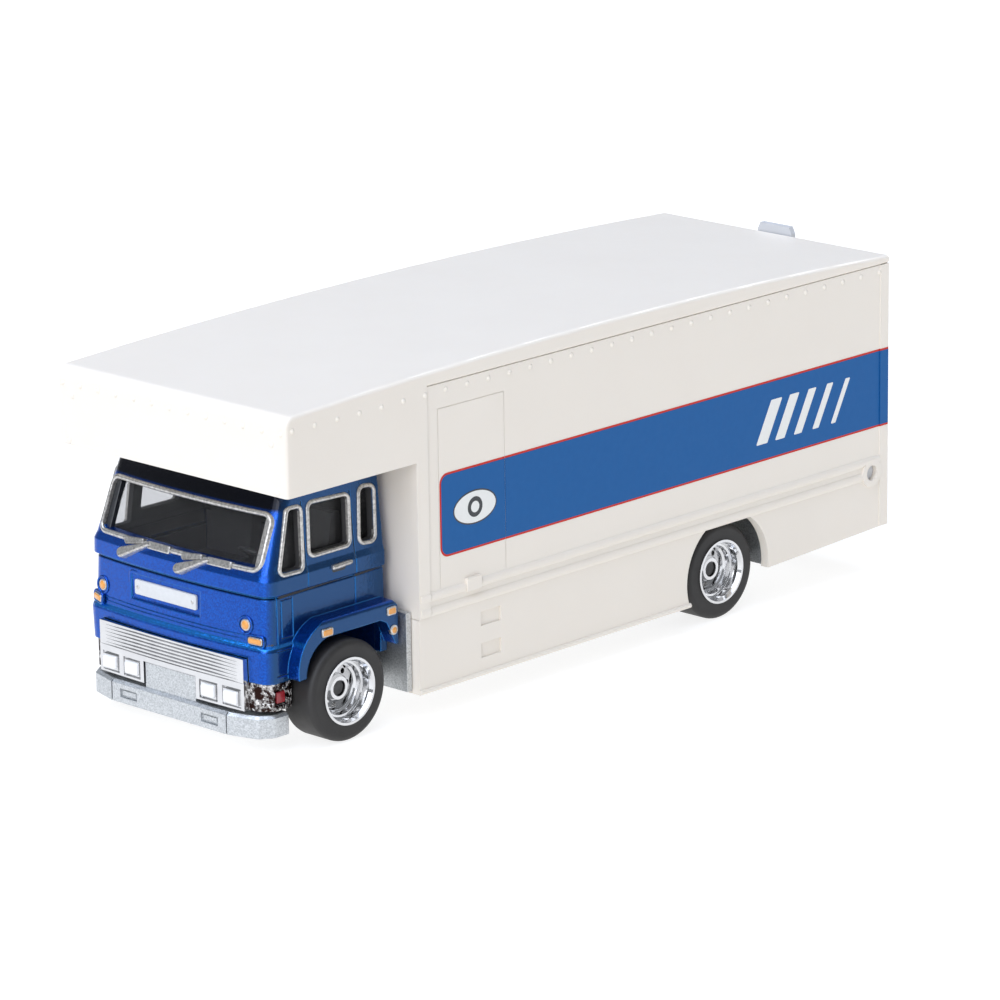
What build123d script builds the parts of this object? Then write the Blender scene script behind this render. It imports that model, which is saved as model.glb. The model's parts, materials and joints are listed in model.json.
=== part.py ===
from build123d import *

import os
from math import sqrt

# Small die-cast cab-over box truck whose cargo bay carries a toy car.  Millimetres, +Z up.
# The truck faces -Y, its left side is +X, and the wheels stand on Z = 0.
# Y and X are centred on the whole truck, so every Y below is built with behind_nose(distance).

# ---- driving dimensions: the box ----
box_length = 107.0            # front face of the nose to the rear edge of the roof
box_width = 39.0
side_wall = 1.2
side_inset = 0.15             # the sides stand this far inside the roof lip
roof_lip_z = 40.6             # underside of the roof where it rests on the sides
roof_front_z = 41.3
roof_peak_z = 42.8
roof_rear_z = 41.6
roof_crown = 58.0             # distance of the highest point of the roof behind the nose
nose_bottom_z = 31.8
nose_wall = 1.1
front_wall = 21.0             # front face of the box behind the cab
front_wall_thickness = 1.9
nose_fillet = 1.4
roof_edge_fillet = 0.45

# ---- driving dimensions: sides, mouldings and skirt ----
moulding_bottom_z = 12.6
moulding_top_z = 15.6
moulding_reach = 0.3          # how far the two ridges stand out of the side
skirt_bottom_z = 3.3
tail_skirt_z = 5.2            # the skirt behind the rear wheel is shorter
bead_radius = 0.3
post_width = 1.6              # corner post at the rear edge of each side
post_reach = 0.12
wheel_arch_radius = 7.7
skirt_fillet = 1.2
rivet_z = 39.7
rivet_radius = 0.33
rivet_reach = 0.2
rivet_ball = (rivet_radius**2 + rivet_reach**2) / (2 * rivet_reach)
rivet_start = 1.0             # first side rivet, behind the nose
rivet_pitch = 3.594
nose_rivet_pitch = 3.1
nose_rivet_z = 39.3

# ---- driving dimensions: deck and ramp ----
deck_thickness = 1.0
deck_top_z = 13.7
deck_gap = 0.1                # deck to side wall
deck_end_gap = 0.7            # deck to the knuckle of the ramp
deck_rib_pitch = 4.0
deck_rib_margin = 5.15        # ends of the ribs, in from the side wall
ledge_height = 1.0
pivot_inset = 3.3             # ramp pivot ahead of the rear edge of the roof
pivot_z = 13.5
pin_radius = 0.95
pin_clearance = 0.06
pin_recess = 0.7              # the pin ends inside its boss
boss_radius = 1.85
boss_reach = 0.3
ramp_thickness = 1.2
ramp_side_gap = 0.3
ramp_inset = 0.15             # rear face of the closed ramp ahead of that edge
ramp_top_gap = 0.35
ear_width = 1.3
knuckle_radius = 1.5
ramp_foot = 2.6               # plate below the pivot; more would meet the deck when open
tread_count = 8
tread_pitch = 3.0
tread_margin = 3.85           # ends of the treads, in from the ramp's edge
tab_width = 5.8
tab_thickness = 0.75
tab_reach = 0.95              # thumb tab behind the roof edge
tab_top_z = 42.75
sill_top_z = 7.4

# ---- driving dimensions: cab ----
cab_rear = 19.4
cab_wall = 1.0
cab_crown = 0.9               # bow of the cab front, seen from above
cab_corner = 1.8
cab_bottom_z = 8.6
cab_top_z = 31.6
fender_half_width = 17.4
screen_width = 26.9           # opening of the windscreen
screen_height = 5.7
screen_z = 25.1
groove = 0.14                 # width and depth of the door and panel lines
glass_gap = 0.08
glass_thickness = 0.6

# ---- driving dimensions: running gear ----
front_axle_back = 10.5
rear_axle_back = 76.0
tyre_radius = 6.16
tyre_width = 5.2
tyre_shoulder = 0.75
wheel_face = 18.1             # outer face of the tyre, from the centre line
rim_radius = 3.95             # seat of the tyre
rim_gap = 0.02
axle_radius = 0.55
axle_clearance = 0.05
axle_head_radius = 0.85
bumper_reach = 1.6            # bumper ahead of the nose
bumper_bottom_z = 2.0
bumper_top_z = 4.7
bumper_depth = 2.4
plate_bottom_z = 3.9
plate_top_z = 5.0
chassis_half_width = 11.6
sump_width = 9.0
sump_length = 8.0
sump_bottom_z = 3.3           # flat pad, below the base plate
mud_plate_thickness = 0.8
mud_plate_inner = 13.2        # inner edge of each mud plate, from the centre line
mud_plate_bottom_z = 3.7
mud_plate_top_z = 13.4
cab_rivet_back = 6.5
front_rivet_back = 29.0
rear_rivet_inset = 13.0       # rear rivet ahead of the rear edge of the roof
rail_end_inset = 9.0
plate_end_inset = 6.0

# ---- values worked out from them ----
half_width = box_width / 2
side_x = half_width - side_inset
inner_x = side_x - side_wall
nose_y = (bumper_reach - box_length - tab_reach) / 2
pivot_back = box_length - pivot_inset
ramp_face = box_length - ramp_inset
box_rivet_backs = (front_rivet_back, box_length - rear_rivet_inset)
axle_z = tyre_radius
seam = front_wall + front_wall_thickness
wheel_inner = wheel_face - tyre_width
ridge_height = 1.15
ridge_root = 0.3              # how deep a ridge is rooted in the side
ridge_heights = (moulding_bottom_z + ridge_height / 2 + 0.03, moulding_top_z - ridge_height / 2)
well_front = rear_axle_back - 8.8      # walls of the rear wheel wells, behind the nose
well_back = rear_axle_back + 8.4
ledge_rear = pivot_back - 4.2          # clear of the foot of the open ramp
well_wall = 0.7
rivet_count = int((box_length - rivet_start) / rivet_pitch) + 1
rivet_backs = [rivet_start + rivet_pitch * i for i in range(rivet_count)]
nose_rivet_pairs = int((half_width - 2 * rivet_radius) / nose_rivet_pitch)


def behind_nose(distance):
    """Y of a point this far behind the front face of the nose."""
    return nose_y + distance


def side_points(points):
    """Turn (distance behind nose, Z) pairs into sketch points for a YZ plane."""
    return [(behind_nose(y), z) for y, z in points]


def arch_half(z):
    """Half width of the rear wheel arch at a height."""
    return sqrt(wheel_arch_radius**2 - (z - axle_z) ** 2)


def ridge_outline(side, root_x, centre_z):
    """Lines of one rounded ridge standing out of a side, in an XZ sketch."""
    low, high = centre_z - ridge_height / 2, centre_z + ridge_height / 2
    tip_x = side_x + moulding_reach
    ThreePointArc((side * root_x, low), (side * tip_x, centre_z), (side * root_x, high))
    Polyline(
        (side * root_x, high), (side * (root_x - ridge_root), high),
        (side * (root_x - ridge_root), low), (side * root_x, low),
    )


def finish(builder, name):
    """Label a finished piece and write its STEP file."""
    builder.part.label = name
    export_step(builder.part, f"parts/{name}.step")


os.makedirs("parts", exist_ok=True)


# ---- roof cap: roof, nose over the cab and front wall in one moulding ----
with BuildPart() as roof_cap:
    with BuildSketch(Plane.YZ.offset(-half_width)):
        with BuildLine():
            Polyline(
                (behind_nose(0), roof_front_z),
                (behind_nose(0), nose_bottom_z),
                (behind_nose(front_wall), nose_bottom_z),
                (behind_nose(front_wall), moulding_bottom_z),
                (behind_nose(seam), moulding_bottom_z),
                (behind_nose(seam), roof_lip_z),
                (behind_nose(box_length), roof_lip_z),
                (behind_nose(box_length), roof_rear_z),
            )
            ThreePointArc(
                (behind_nose(0), roof_front_z),
                (behind_nose(roof_crown), roof_peak_z),
                (behind_nose(box_length), roof_rear_z),
            )
        make_face()
        nose_corner = vertices().group_by(Axis.X)[0].sort_by(Axis.Y)[-1]
        fillet(nose_corner, radius=nose_fillet)
    extrude(amount=box_width)
    outer_edges = (
        edges()
        .filter_by(lambda e: abs(abs(e.center().X) - half_width) < 0.01)
        .filter_by(lambda e: e.center().Z > roof_front_z - nose_fillet or e.center().Y < behind_nose(0.01))
        .filter_by(lambda e: e.center().Y < behind_nose(box_length - 0.01))
    )
    fillet(outer_edges, radius=roof_edge_fillet)
    with BuildSketch(Plane.YZ.offset(-half_width + nose_wall)):
        with BuildLine():
            Polyline(
                *side_points([
                    (nose_wall, nose_bottom_z + nose_wall),
                    (seam, nose_bottom_z + nose_wall),
                    (seam, roof_lip_z - nose_wall / 2),
                    (nose_wall, roof_lip_z - nose_wall / 2),
                ]),
                close=True,
            )
        make_face()
    extrude(amount=box_width - 2 * nose_wall, mode=Mode.SUBTRACT)
    cap_rivets = [y for y in rivet_backs if y < seam - rivet_radius]
    for side in (-1, 1):
        rivet_x = side * (half_width + rivet_reach - rivet_ball)
        with Locations(*[(rivet_x, behind_nose(y), rivet_z) for y in cap_rivets]):
            Sphere(rivet_ball, rotation=(0, 0, 90 + side * 90))
        # the mouldings of the sides run on round the front wall
        for ridge_z in ridge_heights:
            with BuildSketch(Plane.XZ.offset(-behind_nose(seam))):
                with BuildLine():
                    ridge_outline(side, half_width - 0.05, ridge_z + 0.02)
                make_face()
            extrude(amount=front_wall_thickness - 0.3)
    rivet_y = behind_nose(0) - rivet_reach + rivet_ball
    nose_rivets = range(-nose_rivet_pairs, nose_rivet_pairs + 1)
    with Locations(*[(nose_rivet_pitch * i, rivet_y, nose_rivet_z) for i in nose_rivets]):
        Sphere(rivet_ball, rotation=(0, 0, 90))
finish(roof_cap, "roof_cap")


# ---- box body: both sides, skirts, mouldings, corner posts and rear sill ----
door_front = 24.7
door_rear = 35.9
door_top_z = 37.6
pocket_length = 3.4
pocket_height = 1.8
pocket_start = 31.5
outline_width = 0.09          # lines of the side door
outline_depth = 0.06
body_front = seam + 0.08
arch_start = rear_axle_back - arch_half(moulding_bottom_z)
arch_end = rear_axle_back + arch_half(moulding_bottom_z)
skirt_cut = rear_axle_back - arch_half(skirt_bottom_z)
tail_cut = rear_axle_back + arch_half(tail_skirt_z)
arch_mid_z = (moulding_bottom_z + tail_skirt_z) / 2

with BuildPart() as box_body:
    for side in (-1, 1):
        wall_plane = Plane.YZ.offset(side * (inner_x + side_wall / 2))
        with BuildSketch(wall_plane):
            with BuildLine():
                Polyline(*side_points([
                    (skirt_cut, skirt_bottom_z),
                    (front_wall, skirt_bottom_z),
                    (front_wall, moulding_bottom_z - 0.06),
                    (body_front, moulding_bottom_z - 0.06),
                    (body_front, roof_lip_z),
                    (box_length, roof_lip_z),
                    (box_length, tail_skirt_z + 0.8),
                    (tail_cut, tail_skirt_z),
                ]))
                ThreePointArc(
                    (behind_nose(tail_cut), tail_skirt_z),
                    (behind_nose(rear_axle_back + arch_half(arch_mid_z)), arch_mid_z),
                    (behind_nose(arch_end), moulding_bottom_z),
                )
                Line(*side_points([(arch_end, moulding_bottom_z), (arch_start, moulding_bottom_z)]))
                ThreePointArc(
                    (behind_nose(arch_start), moulding_bottom_z),
                    (behind_nose(rear_axle_back - arch_half(arch_mid_z)), arch_mid_z),
                    (behind_nose(skirt_cut), skirt_bottom_z),
                )
            make_face()
        extrude(amount=side_wall / 2, both=True)
        # two rounded ridges with a groove between them
        for ridge_z in ridge_heights:
            with BuildSketch(Plane.XZ.offset(-behind_nose(box_length - post_width))):
                with BuildLine():
                    ridge_outline(side, side_x, ridge_z)
                make_face()
            extrude(amount=box_length - post_width - body_front)
        # corner post at the rear edge
        post_y = behind_nose(box_length - post_width / 2)
        with Locations((side * side_x, post_y, (roof_lip_z + tail_skirt_z + 0.8) / 2)):
            Box(2 * post_reach, post_width, roof_lip_z - tail_skirt_z - 0.8)
        # bead along the bottom of the front skirt
        bead_length = skirt_cut - front_wall
        bead_y = behind_nose(front_wall + bead_length / 2)
        with Locations((side * side_x, bead_y, skirt_bottom_z + bead_radius)):
            Cylinder(bead_radius, bead_length, rotation=(90, 0, 0))
        # boss round the ramp pivot
        with Locations((side * (side_x + boss_reach / 2), behind_nose(pivot_back), pivot_z)):
            Cylinder(boss_radius, boss_reach, rotation=(0, 90, 0))
        # rivet heads under the roof lip
        body_rivets = [y for y in rivet_backs if seam + rivet_radius < y < box_length - post_width]
        rivet_x = side * (side_x + rivet_reach - rivet_ball)
        with Locations(*[(rivet_x, behind_nose(y), rivet_z) for y in body_rivets]):
            Sphere(rivet_ball, rotation=(0, 0, 90 + side * 90))
        # small tab over the moulding, below the side door
        with Locations((side * (side_x + 0.2), behind_nose(30.1), moulding_top_z - 0.35)):
            Box(0.5, 2.4, 1.6)
        # ledges that carry the deck, clear of the rear wheels
        for ledge_start, ledge_end in ((23.5, well_front - 0.5), (well_back + 0.5, ledge_rear)):
            ledge_y = behind_nose((ledge_start + ledge_end) / 2)
            ledge_z = deck_top_z - deck_thickness - 0.05 - ledge_height / 2
            with Locations((side * (inner_x - 0.5), ledge_y, ledge_z)):
                Box(1.1, ledge_end - ledge_start, ledge_height)
    # plate across the front below the roof cap, notched for the chassis
    front_plate_z = (moulding_bottom_z - 0.06 + skirt_bottom_z) / 2
    with Locations((0, behind_nose(front_wall + 0.55), front_plate_z)):
        Box(2 * side_x, 1.1, moulding_bottom_z - 0.06 - skirt_bottom_z)
    with Locations((0, behind_nose(front_wall + 0.55), skirt_bottom_z)):
        Box(2 * chassis_half_width + 1.0, 2.0, 2 * (plate_top_z + 0.2 - skirt_bottom_z), mode=Mode.SUBTRACT)
    # sill across the back, below the ramp
    with Locations((0, behind_nose(box_length - 1.3), (sill_top_z + tail_skirt_z + 0.8) / 2)):
        Box(2 * inner_x + 0.2, 1.2, sill_top_z - tail_skirt_z - 0.8)
    # posts for the rivets that hold the box to the chassis
    for post_back in box_rivet_backs:
        with Locations((0, behind_nose(post_back), (plate_top_z + deck_top_z - deck_thickness) / 2)):
            Box(2 * inner_x + 0.2, 3.2, 1.4)
            Cylinder(1.9, deck_top_z - deck_thickness - plate_top_z - 0.1)
    # door outline, step pockets and panel lines pressed into each side
    for side in (-1, 1):
        for line_y in (door_front, door_rear):
            with Locations((side * side_x, behind_nose(line_y), (door_top_z + moulding_top_z) / 2)):
                Box(2 * outline_depth, outline_width, door_top_z - moulding_top_z, mode=Mode.SUBTRACT)
        with Locations((side * side_x, behind_nose((door_front + door_rear) / 2), door_top_z)):
            Box(2 * outline_depth, door_rear - door_front, outline_width, mode=Mode.SUBTRACT)
        for pocket_z in (10.4, 6.4):
            with Locations((side * side_x, behind_nose(pocket_start + pocket_length / 2), pocket_z)):
                Box(0.5, pocket_length, pocket_height, mode=Mode.SUBTRACT)
        with Locations((side * (inner_x + side_wall / 2), behind_nose(pivot_back), pivot_z)):
            Cylinder(pin_radius + pin_clearance, 2 * side_wall, rotation=(0, 90, 0), mode=Mode.SUBTRACT)
finish(box_body, "box_body")


# ---- cargo deck: ribbed floor of the bay ----
deck_end = pivot_back - knuckle_radius - deck_end_gap
with BuildPart() as cargo_deck:
    deck_length = deck_end - seam - deck_gap
    deck_y = behind_nose(seam + deck_gap + deck_length / 2)
    with Locations((0, deck_y, deck_top_z - deck_thickness / 2)):
        Box(2 * (inner_x - deck_gap), deck_length, deck_thickness)
    with Locations((0, deck_y, deck_top_z)):
        with GridLocations(0, deck_rib_pitch, 1, int(deck_length / deck_rib_pitch) - 1):
            Box(2 * (inner_x - deck_rib_margin), 0.6, 0.5)
finish(cargo_deck, "cargo_deck")


# ---- rear ramp: plate, ears, stub pins and thumb tab ----
ramp_half = inner_x - ramp_side_gap
ramp_top_z = roof_lip_z - ramp_top_gap
with BuildPart() as rear_ramp:
    ramp_y = behind_nose(ramp_face - ramp_thickness / 2)
    with Locations((0, ramp_y, (ramp_top_z + pivot_z - ramp_foot) / 2)):
        Box(2 * ramp_half, ramp_thickness, ramp_top_z - pivot_z + ramp_foot)
    # treads across the inner face
    for tread in range(tread_count):
        with Locations((0, ramp_y - ramp_thickness / 2, pivot_z + tread_pitch * tread + 3.5)):
            Box(2 * (ramp_half - tread_margin), 0.5, 0.6)
    for side in (-1, 1):
        ear_x = side * (ramp_half - ear_width / 2)
        with Locations((ear_x, behind_nose(pivot_back), pivot_z)):
            Cylinder(knuckle_radius, ear_width, rotation=(0, 90, 0))
        ear_length = ramp_face - pivot_back - ramp_thickness / 2
        with Locations((ear_x, behind_nose(pivot_back + ear_length / 2), pivot_z)):
            Box(ear_width, ear_length, 2 * knuckle_radius)
        pin_end = side_x + boss_reach - pin_recess
        pin_start = ramp_half - ear_width / 2
        with Locations((side * (pin_start + pin_end) / 2, behind_nose(pivot_back), pivot_z)):
            Cylinder(pin_radius, pin_end - pin_start, rotation=(0, 90, 0))
    # thumb tab: out past the roof edge, then up behind it
    tab_y = behind_nose(box_length + tab_reach - tab_thickness / 2)
    shelf_length = box_length + tab_reach - ramp_face + ramp_thickness / 2
    shelf_y = behind_nose(box_length + tab_reach - shelf_length / 2)
    with Locations((0, shelf_y, ramp_top_z - 0.6)):
        Box(tab_width, shelf_length, 1.2)
    with BuildSketch(Plane.XZ.offset(-tab_y)):
        with BuildLine():
            Polyline(
                (-tab_width / 2, ramp_top_z - 1.2),
                (tab_width / 2, ramp_top_z - 1.2),
                (tab_width / 2, tab_top_z - 0.9),
                (tab_width / 2 - 0.45, tab_top_z),
                (-tab_width / 2 + 0.45, tab_top_z),
                (-tab_width / 2, tab_top_z - 0.9),
                close=True,
            )
        make_face()
    extrude(amount=tab_thickness / 2, both=True)
finish(rear_ramp, "rear_ramp")


# ---- cab shell: one casting with windows, door lines and fenders ----
# (Z, half width, front face on the centre line behind the nose), from the sill to the roof
cab_levels = [
    (cab_bottom_z, 15.5, -0.75),
    (12.4, 15.6, -0.85),
    (12.8, 15.5, -0.75),
    (13.1, 15.15, -0.4),
    (18.55, 15.1, -0.1),
    (18.8, 14.95, 0.1),
    (19.1, 15.4, -0.45),
    (20.8, 15.4, -0.4),
    (21.6, 15.15, -0.05),
    (cab_top_z, 14.2, 3.75),
]


def cab_size(z):
    """Half width and front of the cab at a height, between the two nearest levels."""
    for low, high in zip(cab_levels, cab_levels[1:]):
        if z <= high[0]:
            break
    share = (z - low[0]) / (high[0] - low[0])
    return low[1] + share * (high[1] - low[1]), low[2] + share * (high[2] - low[2])


def cab_form(inset, bottom_z, top_z):
    """The cab's outer form shrunk by an inset, between two heights."""
    between = [level[0] for level in cab_levels if bottom_z < level[0] < top_z]
    with BuildPart() as form:
        for z in [bottom_z] + between + [top_z]:
            half, front = cab_size(z)
            half = half - inset
            front = front + inset
            with BuildSketch(Plane.XY.offset(z)):
                with BuildLine():
                    ThreePointArc(
                        (-half, behind_nose(front + cab_crown)),
                        (0, behind_nose(front)),
                        (half, behind_nose(front + cab_crown)),
                    )
                    Polyline(
                        (half, behind_nose(front + cab_crown)),
                        (half, behind_nose(cab_rear - inset)),
                        (-half, behind_nose(cab_rear - inset)),
                        (-half, behind_nose(front + cab_crown)),
                    )
                make_face()
                front_corners = vertices().sort_by(Axis.Y)[:2]
                fillet(front_corners, radius=max(cab_corner - inset, 0.5))
        loft(ruled=True)
    return form.part


# outlines of the side windows, as (distance behind nose, Z)
quarter_window = [(2.75, 21.6), (6.1, 21.5), (6.55, 28.5), (4.8, 28.6)]
door_window = [(7.6, 22.8), (13.9, 22.8), (14.3, 28.4), (8.1, 28.6)]
slot_window = [(15.75, 22.6), (18.0, 22.5), (18.4, 28.6), (16.4, 28.8)]
door_line = 14.75
plate_centre = -1.6
plate_width = 10.6
plate_height = 1.9
plate_z = 16.35
grille_half_width = 12.4
grille_top_z = 11.5
arch_top_z = 13.2

cab_skin = cab_form(0, cab_bottom_z, cab_top_z) - cab_form(groove, cab_bottom_z - 0.01, cab_top_z + 0.01)
cab_lines = [
    (door_line, groove, 15.3, 29.0),           # rear edge of the door
    (6.9, groove, 19.3, 29.3),                 # front edge of the door
    (2.0, groove, 13.1, 19.0),                 # corner panel
    (2.7, groove, 13.7, 18.3),                 # vent panel, both ends
    (4.5, groove, 13.7, 18.3),
]
cab_bars = [
    (2.7, 4.5, 13.7),                          # vent panel, bottom and top
    (2.7, 4.5, 18.3),
    (1.5, 4.2, 12.4),                          # step panel
    (1.5, 4.2, 9.4),
]
line_boxes = [
    Pos(side * 15, behind_nose(y), (low + high) / 2) * Box(3, width, high - low)
    for y, width, low, high in cab_lines
    for side in (-1, 1)
]
line_boxes += [
    Pos(side * 15, behind_nose((start + end) / 2), z) * Box(3, end - start, groove)
    for start, end, z in cab_bars
    for side in (-1, 1)
]
cab_grooves = [box & cab_skin for box in line_boxes]

with BuildPart() as cab_shell:
    add(cab_form(0, cab_bottom_z, cab_top_z))
    for side in (-1, 1):
        with BuildSketch(Plane.YZ.offset(side * (fender_half_width + 14.4) / 2)):
            with BuildLine():
                Polyline(*side_points([(8.0, arch_top_z), (16.6, arch_top_z), (17.6, 12.7),
                                       (19.0, 9.8), (cab_rear, 9.8), (cab_rear, 14.5),
                                       (18.8, 15.2), (7.5, 15.2)]))
                ThreePointArc(*side_points([(7.5, 15.2), (4.5, 13.3), (3.2, 8.9)]))
                Line(*side_points([(3.2, 8.9), (4.4, 8.9)]))
                ThreePointArc(*side_points([(4.4, 8.9), (5.6, 11.9), (8.0, arch_top_z)]))
            make_face()
        extrude(amount=(fender_half_width - 14.4) / 2, both=True)
        fender_face = faces().sort_by(Axis.X)[-1 if side > 0 else 0]
        fillet(
            fender_face.edges()
            .filter_by(lambda e: (e @ 0.5).Z > arch_top_z + 0.05)
            .filter_by(lambda e: (e @ 0.5).Y < behind_nose(18.9)),
            radius=0.5,
        )
    add(cab_form(cab_wall, cab_bottom_z - 0.01, cab_top_z - cab_wall), mode=Mode.SUBTRACT)
    # wheel arches through the side walls
    for side in (-1, 1):
        with BuildSketch(Plane.YZ.offset(side * 14.5)):
            with BuildLine():
                Polyline(*side_points([(8.0, arch_top_z), (16.6, arch_top_z), (17.6, 12.7),
                                       (18.35, 11.0), (18.35, 8.0), (4.4, 8.0), (4.4, 8.9)]))
                ThreePointArc(*side_points([(4.4, 8.9), (5.6, 11.9), (8.0, arch_top_z)]))
            make_face()
        extrude(amount=1.5, both=True, mode=Mode.SUBTRACT)
    # windscreen
    with BuildSketch(Plane.XZ.offset(-behind_nose(3.0))):
        with Locations((0, screen_z)):
            Rectangle(screen_width, screen_height)
        fillet(vertices(), radius=1.0)
    extrude(amount=6.0, both=True, mode=Mode.SUBTRACT)
    # side windows
    for window in (quarter_window, door_window, slot_window):
        with BuildSketch(Plane.YZ):
            with BuildLine():
                Polyline(*side_points(window), close=True)
            make_face()
            fillet(vertices(), radius=0.45)
        extrude(amount=20, both=True, mode=Mode.SUBTRACT)
    # opening for the grille and recess for the number plate
    with Locations((0, behind_nose(-0.4), (cab_bottom_z + grille_top_z) / 2)):
        Box(2 * grille_half_width + 0.1, 3.0, grille_top_z - cab_bottom_z + 0.1, mode=Mode.SUBTRACT)
    with Locations((plate_centre, behind_nose(-1.0 + 0.15), plate_z)):
        Box(plate_width + 1.4, 2.0, plate_height + 1.2, mode=Mode.SUBTRACT)
    for cut in cab_grooves:
        add(cut, mode=Mode.SUBTRACT)
finish(cab_shell, "cab_shell")


# ---- cab glazing: one clear moulding inside the windows ----
glass_inset = cab_wall + glass_gap
with BuildPart() as cab_glazing:
    add(cab_form(glass_inset, 20.9, cab_top_z - cab_wall - glass_gap))
    add(cab_form(glass_inset + glass_thickness, 20.8, cab_top_z - cab_wall - glass_gap - glass_thickness),
        mode=Mode.SUBTRACT)
finish(cab_glazing, "cab_glazing")


# ---- cab interior: floor, seats, dashboard and steering wheel in one moulding ----
floor_z = arch_top_z + 0.1
floor_thickness = 0.8
seat_x = 6.4
with BuildPart() as cab_interior:
    add(cab_form(cab_wall + 0.1, floor_z, floor_z + floor_thickness))
    seat_z = floor_z + floor_thickness
    for side in (-1, 1):
        with BuildSketch(Plane.YZ.offset(side * seat_x)):
            with BuildLine():
                Polyline(*side_points([(10.0, seat_z - 0.2), (10.0, seat_z + 3.6), (14.8, seat_z + 3.2),
                                       (15.9, seat_z + 11.0), (17.2, seat_z + 11.0),
                                       (16.6, seat_z - 0.2)]), close=True)
            make_face()
        extrude(amount=3.6, both=True)
    with Locations((0, behind_nose(3.6), seat_z + 2.9)):
        Box(25.0, 3.0, 6.2)
    with Locations((0, behind_nose(11.5), seat_z + 0.9)):
        Box(4.0, 9.0, 2.2)
    wheel_plane = Plane(
        origin=(seat_x, behind_nose(7.6), seat_z + 7.0), x_dir=(1, 0, 0), z_dir=(0, 0.5, 0.85)
    )
    with Locations(wheel_plane):
        Torus(2.2, 0.28)
        Box(4.3, 0.5, 0.35)
        with Locations((0, 0, -2.7)):
            Cylinder(0.35, 5.6)
finish(cab_interior, "cab_interior")


# ---- grille insert: bright ribbed grille with twin square lamps each side ----
lamp_top_z = 8.2
insert_bottom_z = 5.2
grille_front = -1.35
insert_rear = 4.0
panel_half_width = 4.4
rib_pitch = 0.43
with BuildPart() as grille_insert:
    # lower wrap under the cab corners
    with BuildSketch(Plane.XY.offset(insert_bottom_z)):
        with BuildLine():
            Polyline(
                (15.2, behind_nose(insert_rear)), (15.2, behind_nose(1.2)), (13.9, behind_nose(0.1)),
                (grille_half_width, behind_nose(-0.2)),
                (grille_half_width, behind_nose(grille_front + 0.35)),
            )
            ThreePointArc(
                (grille_half_width, behind_nose(grille_front + 0.35)),
                (0, behind_nose(grille_front)),
                (-grille_half_width, behind_nose(grille_front + 0.35)),
            )
            Polyline(
                (-grille_half_width, behind_nose(grille_front + 0.35)),
                (-grille_half_width, behind_nose(-0.2)),
                (-13.9, behind_nose(0.1)), (-15.2, behind_nose(1.2)), (-15.2, behind_nose(insert_rear)),
                (-14.4, behind_nose(insert_rear)), (-14.4, behind_nose(1.6)), (-13.4, behind_nose(0.9)),
                (13.4, behind_nose(0.9)), (14.4, behind_nose(1.6)), (14.4, behind_nose(insert_rear)),
                (15.2, behind_nose(insert_rear)),
            )
        make_face()
    extrude(amount=lamp_top_z + 0.35 - insert_bottom_z)
    # grille plate and its ribs
    with Locations((0, behind_nose(-0.3), (lamp_top_z + grille_top_z) / 2)):
        Box(2 * grille_half_width - 0.1, 1.4, grille_top_z - lamp_top_z - 0.1)
    for rib in range(7):
        with BuildSketch(Plane.XY.offset(lamp_top_z + 0.45 + rib_pitch * rib)):
            with BuildLine():
                ThreePointArc(
                    (-grille_half_width + 0.05, behind_nose(grille_front + 0.4)),
                    (0, behind_nose(grille_front + 0.05)),
                    (grille_half_width - 0.05, behind_nose(grille_front + 0.4)),
                )
                Polyline(
                    (grille_half_width - 0.05, behind_nose(grille_front + 0.4)),
                    (grille_half_width - 0.05, behind_nose(-0.5)),
                    (-grille_half_width + 0.05, behind_nose(-0.5)),
                    (-grille_half_width + 0.05, behind_nose(grille_front + 0.4)),
                )
            make_face()
        extrude(amount=rib_pitch * 0.55)
    # gap for the centre panel of the chassis
    with Locations((0, behind_nose(-0.2), (insert_bottom_z + lamp_top_z - 0.3) / 2)):
        Box(2 * panel_half_width + 0.2, 3.0, lamp_top_z - 0.3 - insert_bottom_z + 0.02, mode=Mode.SUBTRACT)
    # square lamps stand in shallow wells
    for lamp_x in (-10.4, -6.6, 6.6, 10.4):
        with Locations((lamp_x, behind_nose(grille_front), 6.6)):
            Box(3.0, 0.9, 2.3, mode=Mode.SUBTRACT)
        with Locations((lamp_x, behind_nose(grille_front + 0.35), 6.6)):
            Box(2.5, 0.5, 1.8)
    # pocket for the side lamp under each corner
    for side in (-1, 1):
        with Locations((side * 15.2, behind_nose(2.4), 6.7)):
            Box(0.8, 2.2, 2.0, mode=Mode.SUBTRACT)
finish(grille_insert, "grille_insert")


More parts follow.
